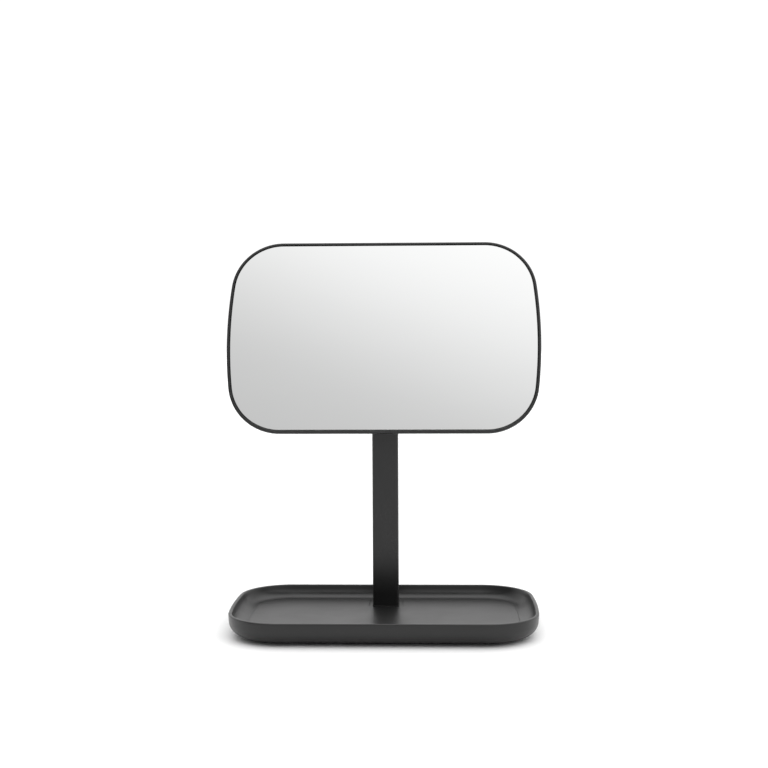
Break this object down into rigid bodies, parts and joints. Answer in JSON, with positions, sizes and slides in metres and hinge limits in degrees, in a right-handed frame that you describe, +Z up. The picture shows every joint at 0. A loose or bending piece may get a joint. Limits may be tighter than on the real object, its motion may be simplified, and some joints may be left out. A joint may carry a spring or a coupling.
{
  "type": "countertop mirror",
  "caption": "Wide free-standing table mirror with bowed ends, tilting and swivelling on a flat stem that stands in a weighted, dished tray with a mat.",
  "frame": {"origin": "on the table, under the middle of the tray, at the bottom of the feet", "axes": "+Z up, +X to the right of a person looking into the mirror, +Y away from them; the mirror faces -Y"},
  "size_m": [0.2264, 0.1298, 0.2783],
  "materials": {
    "tray_plastic": "fine moulded grain, satin, dark grey",
    "mat": "thin silicone mat, satin, dark grey",
    "cover_plastic": "moulded, matt, near black",
    "foot_rubber": "matt silicone rubber, black",
    "stem_paint": "fine powder coat, satin, dark grey",
    "knuckle_paint": "fine powder coat on zinc, dark grey",
    "shell_plastic": "fine moulded grain, satin, dark grey",
    "mirror": "silvered float glass with ground and polished edge",
    "foam": "closed-cell adhesive foam, grey",
    "steel": "zinc-plated steel",
    "cast_metal": "machined aluminium",
    "bush_plastic": "natural acetal"
  },
  "bodies": {
    "base": {"tray": "tray_plastic", "tray_mat": "mat", "ballast_plate": "steel", "base_cover": "cover_plastic", "base_feet": "foot_rubber", "base_screws": "steel", "stem_gasket": "foot_rubber", "stem": "stem_paint", "stem_foot_plug": "cast_metal", "stem_bolts": "steel", "stem_head_plug": "knuckle_paint", "stem_pins": "steel", "swivel_bush": "bush_plastic"},
    "knuckle": {"swivel_knuckle": "knuckle_paint", "swivel_stud": "steel", "swivel_spring": "steel", "swivel_nut": "steel", "stop_pin": "steel"},
    "head": {"back_shell": "shell_plastic", "mirror_glass": "mirror", "glass_tape": "foam", "support_pads": "foam", "backing_plate": "steel", "hinge_bracket": "knuckle_paint", "bracket_screws": "steel", "tilt_bolt": "steel", "tilt_washers": "bush_plastic", "tilt_spring": "steel", "tilt_nut": "steel"}
  },
  "joints": [
    {"name": "head_swivel", "type": "hinge", "parent": "base", "child": "knuckle", "pos_m": [0, 0.033, 0.19], "axis": [0, 0, 1], "range_deg": [-45, 45]},
    {"name": "head_tilt", "type": "hinge", "parent": "knuckle", "child": "head", "pos_m": [0, 0.033, 0.20075], "axis": [-1, 0, 0], "range_deg": [-25, 42]}
  ]
}
